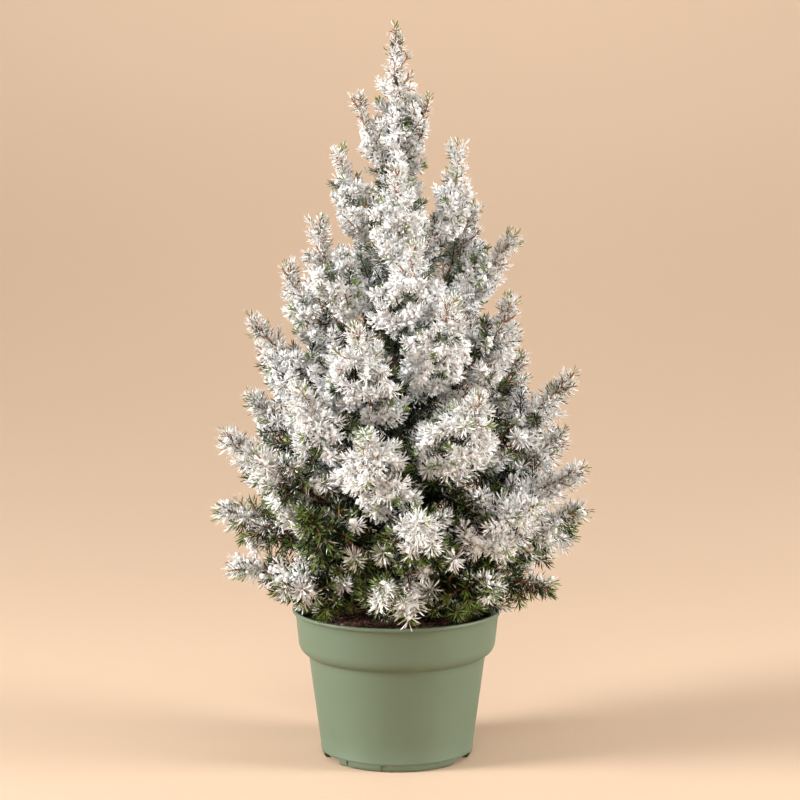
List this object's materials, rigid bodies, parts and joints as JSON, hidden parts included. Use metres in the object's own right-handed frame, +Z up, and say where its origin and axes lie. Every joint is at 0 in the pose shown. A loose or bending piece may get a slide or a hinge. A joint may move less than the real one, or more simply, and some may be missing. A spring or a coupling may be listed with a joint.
{
  "type": "potted alberta spruce",
  "caption": "Small conical spruce with snowy flocked needles on upswept boughs, growing in a round tapered plastic nursery pot with a deep collar and a notched foot.",
  "frame": {"origin": "middle of the pot's foot ring, on the surface the pot stands on", "axes": "+Z up along the trunk, the front of the plant faces -Y, +X to its right"},
  "size_m": [0.3392, 0.3174, 0.661],
  "materials": {
    "pot_plastic": "smooth moulded plastic, sage green, soft sheen",
    "soil": "damp dark brown bark and peat chips",
    "bark": "thin flaking brown bark, orange brown on young twigs",
    "foliage": "short stiff needles, dark green inside and frosted white with flock outside"
  },
  "bodies": {
    "root": {"pot": "pot_plastic", "soil": "soil", "trunk": "bark", "bough_skirt_left": "bark", "bough_low_right": "bark", "bough_low_back": "bark", "bough_waist_right": "bark", "bough_chest_left": "bark", "bough_chest_front_left": "bark", "bough_shoulder_left": "bark", "bough_shoulder_right": "bark", "mass_skirt_left": "foliage", "mass_skirt_right": "foliage", "mass_skirt_front": "foliage", "mass_skirt_front_right": "foliage", "mass_skirt_front_left": "foliage", "mass_skirt_back_right": "foliage", "mass_skirt_back_left": "foliage", "mass_low_left": "foliage", "mass_low_right": "foliage", "mass_low_right_under": "foliage", "mass_low_front": "foliage", "mass_low_front_left": "foliage", "mass_low_front_right": "foliage", "mass_low_back_right": "foliage", "mass_low_back": "foliage", "mass_low_back_left": "foliage", "mass_belly_left": "foliage", "mass_belly_left_front": "foliage", "mass_belly_right": "foliage", "mass_belly_right_back": "foliage", "mass_belly_front": "foliage", "mass_belly_back_right": "foliage", "mass_belly_back_left": "foliage", "mass_waist_left": "foliage", "mass_waist_right": "foliage", "mass_waist_front_right": "foliage", "mass_waist_front_left": "foliage", "mass_waist_back_right": "foliage", "mass_waist_back_left": "foliage", "mass_waist_back": "foliage", "mass_chest_left": "foliage", "mass_chest_right": "foliage", "mass_chest_front_left": "foliage", "mass_chest_front_right": "foliage", "mass_chest_back_right": "foliage", "mass_chest_back_left": "foliage", "mass_shoulder_left": "foliage", "mass_shoulder_left_low": "foliage", "mass_shoulder_right": "foliage", "mass_shoulder_front": "foliage", "mass_shoulder_back_right": "foliage", "mass_shoulder_back_left": "foliage", "mass_neck_left": "foliage", "mass_neck_right": "foliage", "mass_neck_front": "foliage", "mass_neck_back": "foliage", "mass_crest_left": "foliage", "mass_crest_right": "foliage", "mass_leader": "foliage"}
  },
  "joints": []
}
